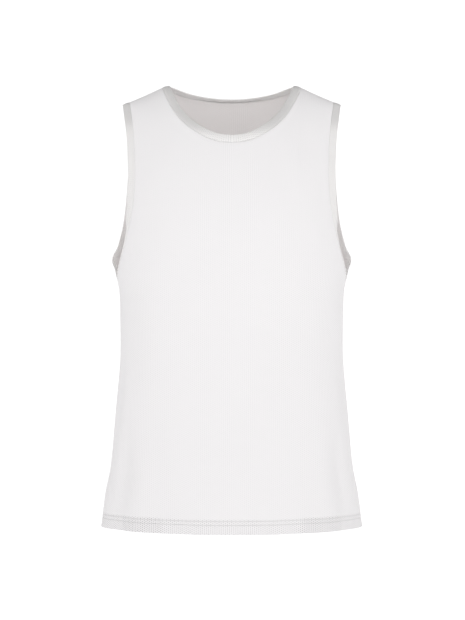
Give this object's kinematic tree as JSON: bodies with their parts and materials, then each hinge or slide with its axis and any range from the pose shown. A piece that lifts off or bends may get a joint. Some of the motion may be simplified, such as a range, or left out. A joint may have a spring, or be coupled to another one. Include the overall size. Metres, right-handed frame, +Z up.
{
  "type": "mesh training bib",
  "caption": "Sleeveless pull-over training bib of open mesh, round bound neck, bound armholes and a turned-up hem, filled out as worn.",
  "frame": {"origin": "midway between the two points where the shoulder seams meet the neck band, where the wearer's shoulders carry the bib", "axes": "+Z up, -Y out of the front of the bib, +X to the wearer's left"},
  "size_m": [0.3892, 0.2421, 0.6565],
  "materials": {
    "front_panel_mesh": "matte white open polyester mesh",
    "back_panel_mesh": "matte white open polyester mesh",
    "neck_binding_mesh": "matte white mesh, folded double",
    "armhole_binding_left_mesh": "matte white mesh, folded double",
    "armhole_binding_right_mesh": "matte white mesh, folded double"
  },
  "bodies": {
    "root": {"front_panel": "front_panel_mesh", "back_panel": "back_panel_mesh", "neck_binding": "neck_binding_mesh", "armhole_binding_left": "armhole_binding_left_mesh", "armhole_binding_right": "armhole_binding_right_mesh"}
  },
  "joints": []
}
